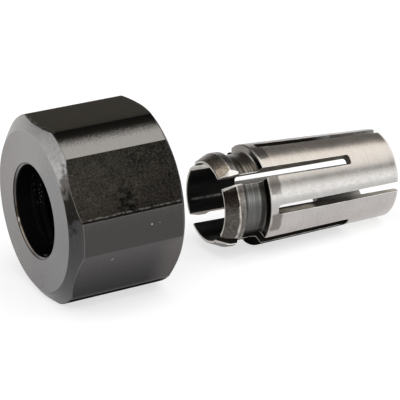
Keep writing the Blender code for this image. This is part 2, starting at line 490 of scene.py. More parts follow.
def collet_stations(outline):
    """Depths of the collet's rows, among them every corner of its section and slots."""
    depths = [depth for depth, radius in outline]
    depths += [BORE_CHAMFER, COLLET_LENGTH - BORE_CHAMFER]
    depths += [NOSE_SLOT_END - d for d in CORNER_DEPTHS]
    depths += [TAIL_SLOT_END + d for d in CORNER_DEPTHS]
    depths += [LAND_START * i / BEVEL_ROWS for i in range(1, BEVEL_ROWS)]
    depths += [HEAD_END + RING_MARGIN + RING_ROW_STEP * i for i in range(RING_ROWS)]
    depths += [BODY_ROWS_START + BODY_ROW_STEP * i for i in range(BODY_ROWS)]
    depths.sort()
    kept = [depths[0]]
    for depth in depths[1:]:
        if depth - kept[-1] > LEAST_ROW_STEP:
            kept.append(depth)
    return kept


def blade_offsets(slot):
    """Distances of a slot's columns from its middle, on its positive side."""
    straight = slot_half_width(slot) - SLOT_CORNER
    return [0.0] + [straight + SLOT_CORNER * math.sin(turn) for turn in CORNER_TURNS]


def collet_columns():
    """The columns round the collet, in order of angle."""
    columns = []
    for slot in range(SLOT_COUNT):
        offsets = blade_offsets(slot)
        columns += [Column(slot, -1, -offset, None) for offset in reversed(offsets[1:])]
        columns += [Column(slot, 1, offset, None) for offset in offsets]
        columns += [Column(slot, 1, 0.0, i / (FILL_COLUMNS + 1)) for i in range(FILL_COLUMNS + 1)]
        columns.append(Column((slot + 1) % SLOT_COUNT, -1, 0.0, 0.0))
    return columns


def beside_slot(slot, side, radius, depth):
    """Angle of the edge break beside a slot, from the middle of the slot."""
    return side * math.asin((slot_half_width(slot) + filed_width(slot, side, depth)) / radius)


def column_angle(column, radius, depth):
    """Angle of a column at one radius and depth, so that slot walls stay flat and parallel."""
    slot, side, offset, share = column
    middle = SLOT_STEP * slot
    if share is None:
        return middle + math.asin(offset / radius)
    start = beside_slot(slot, side, radius, depth)
    if share == 0.0:
        return middle + start
    end = SLOT_STEP + beside_slot((slot + 1) % SLOT_COUNT, -1, radius, depth)
    return middle + start + (end - start) * share


def edge_drop(column, depth):
    """How far a slot's edge lies below the surface, because of its edge break."""
    slot, side, offset, share = column
    on_wall = share is None and abs(abs(offset) - slot_half_width(slot)) < SLACK
    if not on_wall:
        return 0.0
    into = ramp(depth_in_slot(slot, depth), SLOT_CORNER, 2 * SLOT_CORNER)
    return DROP_SHARE * filed_width(slot, side, depth) * into


def bore_radius(depth):
    """Radius of the bore, with its chamfers."""
    from_end = min(depth, COLLET_LENGTH - depth)
    return COLLET_BORE / 2 + max(0.0, BORE_CHAMFER - from_end)


def slot_interval(first, second):
    """(slot, index from its middle) of the cells between two of a slot's own columns."""
    if first.share is not None or second.share is not None or first.slot != second.slot:
        return None
    farther = max(abs(first.offset), abs(second.offset))
    return first.slot, blade_offsets(first.slot).index(farther) - 1


def kept_corners(interval, near, far):
    """Which rows of a cell's two columns stay: "all", "none" or "corner" at a rounded end."""
    slot, index = interval
    low, high = sorted((depth_in_slot(slot, near), depth_in_slot(slot, far)))
    inner = CORNER_DEPTHS[index - 1] if index else 0.0
    outer = CORNER_DEPTHS[index] if index else 0.0
    if low > outer - SLACK:
        return "none"
    if index and abs(low - inner) < SLACK and abs(high - outer) < SLACK:
        return "corner"
    return "all"


def collet_cells(columns, stations):
    """Faces of the collet's sheet as tuples of (column, row), and which are filed edges."""
    cells = []
    for i, first in enumerate(columns):
        j = (i + 1) % len(columns)
        second = columns[j]
        interval = slot_interval(first, second)
        filed_slot = None
        if {first.share, second.share} == {None, 0.0} and first.slot == second.slot:
            filed_slot = first.slot
        for k in range(len(stations) - 1):
            near, far = stations[k], stations[k + 1]
            quad = [(i, k), (j, k), (j, k + 1), (i, k + 1)]
            state = kept_corners(interval, near, far) if interval else "all"
            if state == "none":
                continue
            if state == "corner":
                toward_middle = i if abs(second.offset) > abs(first.offset) else j
                open_row = k if is_nose_slot(first.slot) else k + 1
                quad.remove((toward_middle, open_row))
            middle = (near + far) / 2
            filed = filed_slot is not None and depth_in_slot(filed_slot, middle) > SLOT_CORNER
            cells.append((quad, filed))
    return cells


def without_loose_points(points, faces):
    """Drop the points that lie in the slots and belong to no face."""
    used = sorted({v for face in faces for v in face})
    index = {old: new for new, old in enumerate(used)}
    return [points[v] for v in used], [[index[v] for v in face] for face in faces]


def build_collet(place, materials):
    """The slotted collet: an outer and an inner sheet of the same cells, joined at every edge."""
    outline = collet_outline()
    stations = collet_stations(outline)
    columns = collet_columns()
    rows = len(stations)
    points = []
    for column in columns:
        for depth in stations:
            radius = piecewise(depth, outline) - neck_ring(depth)
            angle = column_angle(column, radius, depth)
            points.append(on_axis(radius - edge_drop(column, depth), angle, depth))
    sheet = len(points)
    for column in columns:
        for depth in stations:
            radius = bore_radius(depth)
            points.append(on_axis(radius, column_angle(column, radius, depth), depth))
    faces = []
    kinds = []
    edges = {}
    for cell, filed in collet_cells(columns, stations):
        outer = [i * rows + k for i, k in cell]
        faces.append(outer)
        kinds.append(FILED_KIND if filed else BODY_KIND)
        faces.append([v + sheet for v in reversed(outer)])
        kinds.append(BORE_KIND)
        for a, b in zip(outer, outer[1:] + outer[:1]):
            if (b, a) in edges:
                del edges[(b, a)]
            else:
                edges[(a, b)] = True
    for a, b in edges:
        faces.append((b, a, a + sheet, b + sheet))
        at_end = a % rows == b % rows and a % rows in (0, rows - 1)
        kinds.append(END_KIND if at_end else WALL_KIND)
    points, faces = without_loose_points(points, faces)
    return new_piece("collet_body", points, faces, kinds, materials, place)


# Finishes: masks run from 0 to 1, and a ramp's stops are (place, red, green, blue)

class Varying:
    """A number or colour that varies over a surface, with plain arithmetic and soft steps."""

    def __init__(self, surface, socket):
        self.surface = surface
        self.socket = socket

    def __add__(self, other):
        return self.surface.math("ADD", self, other)

    def __sub__(self, other):
        return self.surface.math("SUBTRACT", self, other)

    def __rsub__(self, other):
        return self.surface.math("SUBTRACT", other, self)

    def __mul__(self, other):
        return self.surface.math("MULTIPLY", self, other)

    __radd__ = __add__
    __rmul__ = __mul__

    def at_least(self, other):
        """The larger of this and another, so that a | b is a mask where either counts."""
        return self.surface.math("MAXIMUM", self, other)

    __or__ = at_least

    def output(self, name):
        """Another output of the same node."""
        return Varying(self.surface, self.socket.node.outputs[name])

    def step(self, low, high, start=0.0, end=1.0):
        """A smooth step from start to end as this goes from low to high."""
        inputs = {0: self, 1: low, 2: high, 3: start, 4: end}
        return self.surface.node("MapRange", inputs, interpolation_type="SMOOTHSTEP")

    def between(self, low, high, soft):
        """1 between low and high, 0 outside, with soft edges."""
        return self.step(low - soft, low + soft) * self.step(high - soft, high + soft, 1.0, 0.0)

    def swing(self, amount):
        """Noise made to swing about zero."""
        return (self - 0.5) * amount


class Surface:
    """A Principled material, with short calls for the nodes that vary it."""

    def __init__(self, name, **constants):
        self.material = bpy.data.materials.new(name)
        self.material.use_nodes = True
        self.tree = self.material.node_tree
        self.shader = self.tree.nodes["Principled BSDF"]
        for socket, value in constants.items():
            self.set(socket.replace("_", " "), value)

    def node(self, kind, inputs, output=0, **settings):
        """One output of a new node, whose inputs are fed by place or name."""
        node = self.tree.nodes.new("ShaderNode" + kind)
        for key, value in settings.items():
            setattr(node, key, value)
        for place, value in inputs.items():
            self.feed(node.inputs[place], value)
        return Varying(self, node.outputs[output])

    def feed(self, socket, value):
        """Link a socket to what varies, or set its value."""
        if isinstance(value, Varying):
            self.tree.links.new(value.socket, socket)
        else:
            socket.default_value = value

    def set(self, name, value):
        """Feed one of the shader's own sockets."""
        self.feed(self.shader.inputs[name], value)

    def math(self, operation, *values):
        """A Math node."""
        return self.node("Math", dict(enumerate(values)), operation=operation)


class Finish(Surface):
    """The surface of a piece, varied by the place on the piece."""

    def __init__(self, name, **constants):
        super().__init__(name, **constants)
        self.local = self.attribute("local_mm", "Vector")
        self.depth = self.node("SeparateXYZ", {0: self.local}, "X")
        self.across = self.depth.output("Y")
        self.height = self.depth.output("Z")
        self.angle = self.math("DEGREES", self.math("ARCTAN2", self.across * -1.0, self.height))
        self.radius = self.distance(0.0, 0.0)

    def attribute(self, name, output="Fac"):
        """What the mesh keeps on its points under a name."""
        return self.node("Attribute", {}, output, attribute_name=name)

    def distance(self, across, height):
        """Distance from a line along the axis."""
        x = self.across - across
        z = self.height - height
        return self.math("SQRT", x * x + z * z)

    def noise_at(self, place, detail):
        """Noise at a place that varies."""
        return self.node("TexNoise", {"Vector": place, "Scale": 1.0, "Detail": detail}, "Fac")

    def noise(self, scale, detail=3.0, offset=0.0):
        """Noise on the piece's own millimetres, with one scale or one for each axis."""
        scales = scale if isinstance(scale, tuple) else (scale,) * 3
        inputs = {0: self.local, 1: scales, 2: (offset,) * 3}
        return self.noise_at(self.node("VectorMath", inputs, operation="MULTIPLY_ADD"), detail)

    def turned_noise(self, radius_scale, round_scale):
        """Noise in rings round the axis, for a faced surface."""
        across, height = self.across * round_scale, self.height * round_scale
        inputs = {0: self.radius * radius_scale, 1: across, 2: height}
        return self.noise_at(self.node("CombineXYZ", inputs), 3.0)

    def specks(self, scale, size, bare):
        """Small spots in the cells of a scattered pattern, of which a bare share has none."""
        near = self.node("TexVoronoi", {"Vector": self.local, "Scale": scale}, "Distance")
        chance = self.node("SeparateXYZ", {0: near.output("Color")})
        return near.step(size * 0.4, size, 1.0, 0.0) * chance.step(bare, bare + 0.02)

    def spot(self, centre, size):
        """1 within a given distance of a place in millimetres, with a soft edge."""
        away = self.node("VectorMath", {0: self.local, 1: centre}, "Value", operation="DISTANCE")
        return away.step(size * 0.5, size, 1.0, 0.0)

    def along(self, value, low, high, *stops):
        """Colour of a ramp of stops, as value goes from low to high."""
        share = self.node("MapRange", {0: value, 1: low, 2: high})
        colour = self.node("ValToRGB", {0: share}, "Color")
        elements = colour.socket.node.color_ramp.elements
        while len(elements) < len(stops):
            elements.new(1.0)
        for element, (place, *tone) in zip(elements, stops):
            element.position = (place - low) / (high - low)
            element.color = (*tone, 1.0)
        return colour

    def by_angle(self, angle, *stops):
        """Colour that changes round the axis."""
        return self.along(angle, -180.0, 180.0, *stops)

    def by_depth(self, *stops):
        """Colour that changes along the collet."""
        return self.along(self.depth, 0.0, COLLET_LENGTH / MM, *stops)

    def mix(self, share, first, second):
        """Blend two colours."""
        colours = [c if isinstance(c, Varying) else (*c, 1.0) for c in (first, second)]
        return self.node("Mix", {0: share, 6: colours[0], 7: colours[1]}, 2, data_type="RGBA")

    def mixed(self, share, first, second):
        """Blend two numbers."""
        return self.node("Mix", {0: share, 2: first, 3: second})

    def shaded(self, colour, factor):
        """A colour made lighter or darker by a factor."""
        return self.node("VectorMath", {0: colour, "Scale": factor}, operation="SCALE")

    def done(self, colour, roughness, relief, relief_mm):
        """The material, with its colour, its roughness and a relief of a given depth."""
        self.set("Base Color", colour)
        self.set("Roughness", roughness)
        inputs = {"Height": relief, "Distance": relief_mm * MM, "Strength": 1.0}
        self.set("Normal", self.node("Bump", inputs, "Normal"))
        return self.material


def turned_face():
    """The nut's outer face: satin turning marks on worn black oxide, painted lighter above and
    darker below.
    """
    finish = Finish("turned_face", Metallic=1.0)
    rings = finish.turned_noise(9.0, 0.12)
    fine = finish.turned_noise(30.0, 0.5)
    cloud = finish.noise(0.22, offset=3.0)
    # Tone round the face: painted light towards the top and painted shade towards the bottom.
    tone = finish.by_angle(
        finish.angle,
        (-180.0, 0.185, 0.178, 0.177),
        (-60.0, 0.25, 0.236, 0.229),
        (14.0, 0.275, 0.267, 0.262),
        (32.0, 0.226, 0.221, 0.219),
        (65.0, 0.205, 0.2, 0.2),
        (100.0, 0.19, 0.185, 0.187),
        (130.0, 0.198, 0.192, 0.194),
        (180.0, 0.185, 0.178, 0.177),
    )
    rubbed = finish.angle.between(22.0, 58.0, 9.0) * finish.radius.step(5.2, 7.6)
    blotches = finish.noise(2.6, 5.0, 1.0) - 0.47
    level = 0.68 + rings * 0.22 + fine * 0.16 + cloud * 0.24 + rubbed * blotches * 0.9
    arc = finish.distance(-0.643, -7.06).between(0.83, 0.91, 0.03)
    scratch = arc * finish.across.step(-1.1, -1.0, 1.0, 0.0)
    colour = finish.shaded(tone, level * (1.0 - scratch * 0.6))
    return finish.done(colour, rings.step(0.2, 0.8, 0.34, 0.46), rings * 0.6 + fine, 0.012)


def nut_chamfer():
    """The nut's chamfers: painted light above and painted shade below, with a ragged near-black band
    of painted shade on the viewer's side.
    """
    finish = Finish("nut_chamfer", Metallic=1.0)
    brushed = finish.turned_noise(7.0, 0.5)
    ragged = finish.noise((2.6, 1.7, 1.7), 5.0)
    # Tone round the chamfer: painted light on top, a near-black band of painted shade from about 52
    # to 88 degrees, and darker tones below.
    tone = finish.by_angle(
        finish.angle + ragged.swing(30.0) + finish.depth * 5.0,
        (-180.0, 0.12, 0.116, 0.116),
        (-60.0, 0.29, 0.278, 0.27),
        (-14.0, 0.36, 0.348, 0.335),
        (10.0, 0.325, 0.315, 0.303),
        (26.0, 0.265, 0.258, 0.252),
        (46.0, 0.3, 0.292, 0.286),
        (52.0, 0.105, 0.1, 0.094),
        (58.0, 0.08, 0.075, 0.07),
        (65.0, 0.018, 0.017, 0.015),
        (76.0, 0.012, 0.011, 0.0095),
        (88.0, 0.054, 0.052, 0.053),
        (130.0, 0.08, 0.078, 0.081),
        (160.0, 0.1, 0.097, 0.1),
        (180.0, 0.12, 0.116, 0.116),
    )
    mottled = finish.angle.between(26.0, 73.0, 7.0)
    blotches = finish.noise(2.8, 3.0, 8.0) - 0.52
    level = 0.78 + brushed * 0.44 + mottled * blotches * 0.75
    colour = finish.shaded(tone, level.at_least(0.2))
    return finish.done(colour, brushed.step(0.2, 0.8, 0.3, 0.45), brushed, 0.012)


def flats_oxide_and_shade(finish, mottled, grain):
    """Colour of the nut's flats: one mottled and stained, the others even, the lower one painted
    darker towards the floor as shade.
    """
    angle, depth = finish.angle, finish.depth
    # From 100 to 140 degrees the lower flat darkens towards the floor, a painted reflection of the
    # pair's shadow; it is paler at its far upper corner.
    flats = finish.by_angle(
        angle,
        (-180.0, 0.06, 0.057, 0.055),
        (-60.0, 0.03, 0.028, 0.026),
        (-20.0, 0.026, 0.0245, 0.021),
        (12.0, 0.022, 0.0205, 0.0165),
        (19.5, 0.008, 0.0075, 0.006),
        (45.0, 0.03, 0.0275, 0.0225),
        (62.0, 0.034, 0.0305, 0.0255),
        (80.0, 0.022, 0.0195, 0.0165),
        (100.0, 0.088, 0.083, 0.084),
        (110.0, 0.07, 0.067, 0.068),
        (118.0, 0.056, 0.053, 0.054),
        (127.0, 0.041, 0.039, 0.04),
        (140.0, 0.023, 0.022, 0.022),
        (180.0, 0.03, 0.029, 0.028),
    )
    far_corner = depth.step(8.6, 11.6) * angle.step(98.0, 104.0)
    flats = finish.mix(far_corner * 0.5, flats, (0.15, 0.137, 0.132))
    stain = finish.spot((5.9, -8.7, 3.0), 1.5) * finish.noise(1.7, 4.0, 2.0).step(0.42, 0.56)
    spread = finish.noise(0.6).swing(1.1) + grain.swing(3.2)
    contrast = mottled.step(0.0, 1.0, 0.12, 1.0)
    faded = mottled * depth.step(1.0, 12.0, 0.15, -0.3)
    level = 1.0 + faded + spread * contrast - stain * 0.7
    return finish.shaded(flats, level.at_least(0.2))


def lands_oxide_and_sheen(finish, rings, grain):
    """Colour of the nut's lands: dark, with a painted reflection on the lower part of one and
    painted shade on the land at 150 degrees.
    """
    angle = finish.angle
    # The land at 150 degrees is painted dark as shade, paler past a depth of 11 mm.
    shaded_underside = finish.mix(finish.depth.step(10.6, 11.6), (0.028, 0.026, 0.026), (0.2, 0.185, 0.175))
    lands = finish.mix(angle.step(120.0, 130.0), (0.06, 0.057, 0.055), shaded_underside)
    lands = finish.mix(angle.step(50.0, 55.0), (0.012, 0.011, 0.009), lands)
    # On the first land, from about 33 degrees down, a painted reflection of the overhead light with
    # a frayed edge; above that it stays dark.
    frayed = angle + rings * 0.6 + grain * 7.0
    lands = finish.mix(frayed.between(33.5, 60.0, 4.5), lands, (0.22, 0.208, 0.196))
    return finish.shaded(lands, 0.86 + rings * 0.14 + grain * 0.14)


def oxide_marks_and_shadow(finish, colour, land, mottled):
    """Spots, dings, worn and chipped rims, and a painted shadow line along the mottled flat's lower
    edge.
    """
    angle, depth = finish.angle, finish.depth
    spots = finish.specks(1.0, 0.11, 0.86) | finish.specks(0.37, 0.07, 0.7)
    spots = spots | finish.specks(2.4, 0.16, 0.8) * mottled * 0.4
    colour = finish.mix(spots * 0.7, colour, (0.3, 0.28, 0.25))
    nicks_and_glints = finish.spot((8.18, -9.53, 0.31), 0.11) | finish.spot((4.2, -8.79, -2.77), 0.2) * 0.3
    nicks_and_glints = nicks_and_glints | finish.spot((9.04, -9.54, 0.34), 0.07) * 0.5
    colour = finish.mix(nicks_and_glints, colour, (0.42, 0.4, 0.37))
    rim = finish.attribute("rim_mm")
    edge = land + finish.noise((1.3, 0.1, 0.1), 3.0, 5.0).swing(0.22)
    broken = finish.noise((2.1, 1.6, 1.6), 4.0, 11.0).step(0.38, 0.6)
    below = mottled * angle.step(60.0, 61.0)
    worn_edge = edge.between(-0.34, -0.2, 0.05) * broken * below * 0.34
    worn_rim = rim.step(0.0, 0.05, 1.0, 0.0) * 0.26
    colour = finish.mix(worn_edge | worn_rim, colour, (0.29, 0.28, 0.265))
    chips = rim - (finish.noise(1.9, 5.0, 13.0) - 0.46) * 2.4
    top_front = angle.between(-20.0, 20.0, 1.0) * depth.step(3.0, 4.0, 1.0, 0.0)
    chipped = chips.step(-0.02, 0.05, 1.0, 0.0) * top_front
    colour = finish.mix(chipped * 0.85, colour, (0.2, 0.194, 0.187))
    shadow_line = edge.between(-0.17, -0.01, 0.04) * below
    return finish.mix(shadow_line * 0.9, colour, (0.006, 0.005, 0.004))


def black_oxide():
    """The nut's milled flats and turned lands, like metal on the sides that the light reaches."""
    finish = Finish("black_oxide")
    from_top = finish.math("ABSOLUTE", finish.angle)
    warm = from_top.step(19.0, 24.0, 1.0, 0.0)
    finish.set("Specular Tint", finish.mix(warm, (0.84, 0.83, 0.83), (0.84, 0.8, 0.74)))
    lit_side = from_top.step(137.0, 141.0, 1.0, 0.0)
    finish.set("Metallic", lit_side)
    finish.set("Specular IOR Level", lit_side * 0.5)
    land = finish.attribute("land_mm")
    on_land = land.step(-0.02, 0.02)
    mottled = finish.angle.between(35.0, 85.0, 2.0)
    grain = finish.noise(5.5, 5.0, 7.0)
    rings = finish.noise((7.0, 0.5, 0.5), 4.0)
    flats = flats_oxide_and_shade(finish, mottled, grain)
    lands = lands_oxide_and_sheen(finish, rings, grain)
    colour = oxide_marks_and_shadow(finish, finish.mix(on_land, flats, lands), land, mottled)
    roughness = finish.mixed(on_land, mottled.step(0.0, 1.0, 0.42, 0.55), 0.27)
    relief = grain * finish.mixed(on_land, mottled.step(0.0, 1.0, 0.15, 1.0), 0.12)
    return finish.done(colour, roughness, relief + rings * 0.05, 0.02)


def lip_chamfer():
    """The narrow chamfer round the nut's hole: a pale ring between dark lines, with a nick."""
    finish = Finish("lip_chamfer", Metallic=1.0)
    ragged = finish.noise(3.0, 4.0)
    ring = finish.along(
        finish.radius, 4.6, 5.0,
        (4.67, 0.02, 0.018, 0.017),
        (4.71, 0.27, 0.255, 0.25),
        (4.79, 0.3, 0.285, 0.28),
        (4.83, 0.035, 0.032, 0.03),
        (4.92, 0.045, 0.042, 0.04),
    )
    worn = finish.by_angle(
        finish.angle + ragged.swing(8.0),
        (-170.0, 1.1, 1.05, 0.95),
        (-130.0, 0.9, 0.8, 0.7),
        (-125.0, 0.3, 0.26, 0.22),
        (-122.5, 1.1, 1.05, 1.0),
        (-118.5, 1.1, 1.05, 1.0),
        (-116.0, 0.16, 0.13, 0.09),
        (-106.0, 0.16, 0.13, 0.09),
        (-98.0, 0.3, 0.285, 0.28),
        (-68.0, 0.28, 0.27, 0.27),
        (-42.0, 0.8, 0.8, 0.8),
        (180.0, 1.0, 1.0, 1.0),
    )
    tone = finish.node("VectorMath", {0: ring, 1: worn}, operation="MULTIPLY")
    colour = finish.shaded(tone, 0.7 + ragged * 0.6)
    return finish.done(colour, ragged.step(0.2, 0.8, 0.3, 0.42), ragged, 0.008)


def dark_bore():
    """The inside of the nut: black oxide painted nearly black as shade, with a few painted glints on
    the thread.
    """
    finish = Finish("dark_bore", Metallic=0.6, Specular_IOR_Level=0.25)
    rings = finish.noise((6.0, 0.6, 0.6), 4.0)
    # Painted shade: the oxide inside is made far darker than outside.
    dark_oxide_and_shade = finish.shaded((0.003, 0.0029, 0.003), 0.6 + rings * 0.8)
    first_threads = finish.angle.between(-110.0, -84.0, 4.0) * finish.depth.between(3.1, 4.2, 0.1)
    glints = first_threads * finish.specks(4.2, 0.32, 0.4) * 0.6
    # Two painted glints, one on the lip and one on the thread near the front.
    nicks_and_glints = finish.spot((0.8, -0.7, -4.6), 0.22) | finish.spot((3.5, 4.0, -5.5), 0.26)
    colour = finish.mix(glints | nicks_and_glints, dark_oxide_and_shade, (0.45, 0.45, 0.46))
    return finish.done(colour, rings.step(0.2, 0.8, 0.3, 0.5), rings, 0.01)


def head_steel_and_shade(finish, ragged, neck_rings):
    """Colour of the collet's head: brown bevel with painted light and shade round it, grey land and
    a painted highlight on the ridge between them.
    """
    speckle = finish.noise(4.5, 5.0, 3.0) - 0.5
    # Tone round the bevel: painted light on top and a near-black band of painted shade from about 58
    # to 75 degrees.
    bevel = finish.by_angle(
        finish.angle + ragged.swing(16.0),
        (-180.0, 0.1, 0.09, 0.08),
        (-40.0, 0.1, 0.085, 0.07),
        (0.0, 0.14, 0.12, 0.095),
        (16.0, 0.23, 0.2, 0.16),
        (34.0, 0.25, 0.21, 0.165),
        (45.0, 0.15, 0.125, 0.1),
        (58.0, 0.016, 0.0125, 0.0105),
        (75.0, 0.016, 0.0125, 0.0105),
        (89.0, 0.08, 0.072, 0.065),
        (140.0, 0.085, 0.077, 0.071),
        (180.0, 0.1, 0.09, 0.08),
    )
    bevel = finish.shaded(bevel, (1.0 + speckle * 2.2).at_least(0.3))
    land = finish.mix(ragged, (0.1, 0.092, 0.084), (0.19, 0.175, 0.16))
    land = finish.shaded(land, 1.0 + neck_rings * 1.2 + speckle * 1.6)
    place = finish.depth + ragged.swing(0.16)
    head = finish.mix(place.step(1.3, 1.42), bevel, land)
    # The pale line on the ridge between bevel and land is a painted highlight.
    past_ridge = place - finish.angle.step(80.0, 96.0, 1.42, 1.56)
    ridge = place.step(1.28, 1.34) * past_ridge.step(-0.03, 0.03, 1.0, 0.0)
    return finish.mix(ridge * ragged.step(0.38, 0.56, 0.25, 0.9), head, (0.51, 0.476, 0.434))


def neck_steel_and_shade(finish, neck_rings):
    """Colour of the collet's neck: dark and ringed."""
    angle = finish.angle
    # Tone round the neck: painted light from about 45 to 84 degrees and painted shade down to near
    # black underneath.
    neck = finish.by_angle(
        angle,
        (-180.0, 0.13, 0.13, 0.125),
        (0.0, 0.085, 0.073, 0.06),
        (30.0, 0.095, 0.084, 0.07),
        (45.0, 0.12, 0.112, 0.098),
        (64.0, 0.105, 0.106, 0.099),
        (74.0, 0.135, 0.137, 0.131),
        (84.0, 0.11, 0.11, 0.107),
        (105.0, 0.1, 0.098, 0.096),
        (118.0, 0.05, 0.048, 0.046),
        (180.0, 0.02, 0.019, 0.018),
    )
    ringed = finish.mixed(angle.between(18.0, 48.0, 6.0), 2.4, 6.5)
    return finish.shaded(neck, (1.0 + neck_rings * ringed).at_least(0.35))


def shoulder_steel_and_shade(finish):
    """Colour of the collet's shoulder, with painted light and shade round it and a line of painted
    shade under its edge on the lit side.
    """
    # Tone round the shoulder: painted light on top and painted shade below.
    shoulder = finish.by_angle(
        finish.angle,
        (0.0, 0.2, 0.185, 0.165),
        (10.0, 0.3, 0.285, 0.26),
        (26.0, 0.26, 0.245, 0.225),
        (45.0, 0.11, 0.105, 0.095),
        (64.0, 0.07, 0.067, 0.06),
        (80.0, 0.095, 0.092, 0.084),
        (125.0, 0.09, 0.086, 0.08),
        (140.0, 0.012, 0.012, 0.011),
    )
    shade = finish.depth.between(4.63, 4.8, 0.02) * finish.angle.step(0.0, 12.0)
    return finish.mix(shade, shoulder, (0.01, 0.0088, 0.007))


def body_steel_and_shade(finish):
    """Colour of the collet's ground body, with painted light and shade round it: darkest just past
    the top, lightest near 30 degrees.
    """
    return finish.by_angle(
        finish.angle,
        (-50.0, 0.48, 0.46, 0.445),
        (-12.0, 0.3, 0.28, 0.262),
        (14.0, 0.45, 0.4, 0.35),
        (30.0, 0.535, 0.482, 0.43),
        (62.0, 0.47, 0.445, 0.415),
        (80.0, 0.43, 0.42, 0.41),
        (120.0, 0.45, 0.418, 0.402),
        (180.0, 0.48, 0.46, 0.445),
    )


def ground_steel():
    """The collet's outside: ground body, dark shoulder, ringed neck and brown head, with painted
    light, shade and highlights.
    """
    finish = Finish("ground_steel")
    angle, depth = finish.angle, finish.depth
    cloud = finish.noise(0.5, 3.0, 9.0)
    ragged = finish.noise(1.5, 4.0, 2.0)
    neck_rings = finish.noise((9.5, 0.12, 0.12), 4.0, 6.0) - 0.5
    colour = head_steel_and_shade(finish, ragged, neck_rings)
    colour = finish.mix(depth.step(2.3, 2.5), colour, neck_steel_and_shade(finish, neck_rings))
    # Painted shade in the neck's fillet, all round but the top.
    fillet = depth.step(4.0, 4.26) * angle.between(36.0, 220.0, 6.0)
    colour = finish.mix(fillet, colour, (0.026, 0.025, 0.022))
    colour = finish.mix(depth.step(4.5, 4.58), colour, shoulder_steel_and_shade(finish))
    colour = finish.mix(depth.step(4.8, 4.86), colour, body_steel_and_shade(finish))
    # A painted highlight on the shoulder's outer edge, on the upper near side.
    painted_edge_highlight = depth.between(4.79, 4.9, 0.02) * angle.between(10.0, 40.0, 5.0)
    colour = finish.mix(painted_edge_highlight, colour, (0.85, 0.81, 0.76))
    # A painted light line along the top, fading in from 9 to 18 mm deep.
    painted_top_light = angle.step(-3.0, 3.0, 1.0, 0.0) * depth.step(9.0, 18.0)
    colour = finish.mix(painted_top_light * 0.9, colour, (0.66, 0.64, 0.62))
    octant = finish.math("MODULO", angle + 360.0, 45.0)
    patch_sides = (octant + ragged.swing(7.0)).between(4.0, 27.0, 2.2)
    patches = (depth + ragged.swing(0.4)).between(4.95, 6.16, 0.12) * patch_sides
    colour = finish.mix(patches * 0.85, colour, (0.15, 0.135, 0.12))
    grind = finish.noise((9.0, 0.35, 0.35), 4.0)
    fine = finish.noise((26.0, 1.2, 1.2), 3.0, 5.0)
    colour = finish.shaded(colour, 0.66 + grind * 0.26 + fine * 0.18 + cloud * 0.24)
    scuffs = finish.noise((1.5, 2.8, 2.8), 6.0, 4.0).step(0.34, 0.68)
    scuffed = (angle + ragged * 6.0).between(72.0, 79.0, 3.0) * scuffs * depth.step(5.2, 6.4)
    colour = finish.mix(scuffed * 0.5, colour, (0.75, 0.74, 0.73))
    # A painted highlight on the tail's rounded edge, on the side towards the viewer.
    tail_rim_highlight = depth.step(20.45, 20.62) * angle.between(8.0, 128.0, 6.0)
    colour = finish.mix(tail_rim_highlight * 0.8, colour, (0.84, 0.81, 0.78))
    # Painted shade: the collet's lower side is near black.
    shaded_underside = angle.step(132.0, 138.0) * depth.between(1.3, 15.5, 0.1)
    colour = finish.mix(shaded_underside, colour, (0.016, 0.015, 0.014))
    unlit = angle.step(112.0, 124.0) * depth.between(2.3, 4.86, 0.06) | shaded_underside
    finish.set("Metallic", 1.0 - unlit - tail_rim_highlight * 0.7)
    finish.set("Specular IOR Level", 0.5 - unlit * 0.5)
    roughness = 0.22 + cloud * 0.1 + scuffed * 0.14
    return finish.done(colour, roughness, grind + fine * 0.5, 0.012)


def filed_edge():
    """Edges beside the slots, filed bright."""
    finish = Finish("filed_edge", Metallic=1.0)
    marks = finish.noise(5.0, 4.0)
    level = (0.7 + marks * 0.6) * finish.depth.step(0.9, 1.3, 0.62, 1.0)
    colour = finish.shaded((0.84, 0.81, 0.77), level)
    return finish.done(colour, marks.step(0.3, 0.7, 0.36, 0.55), marks, 0.01)


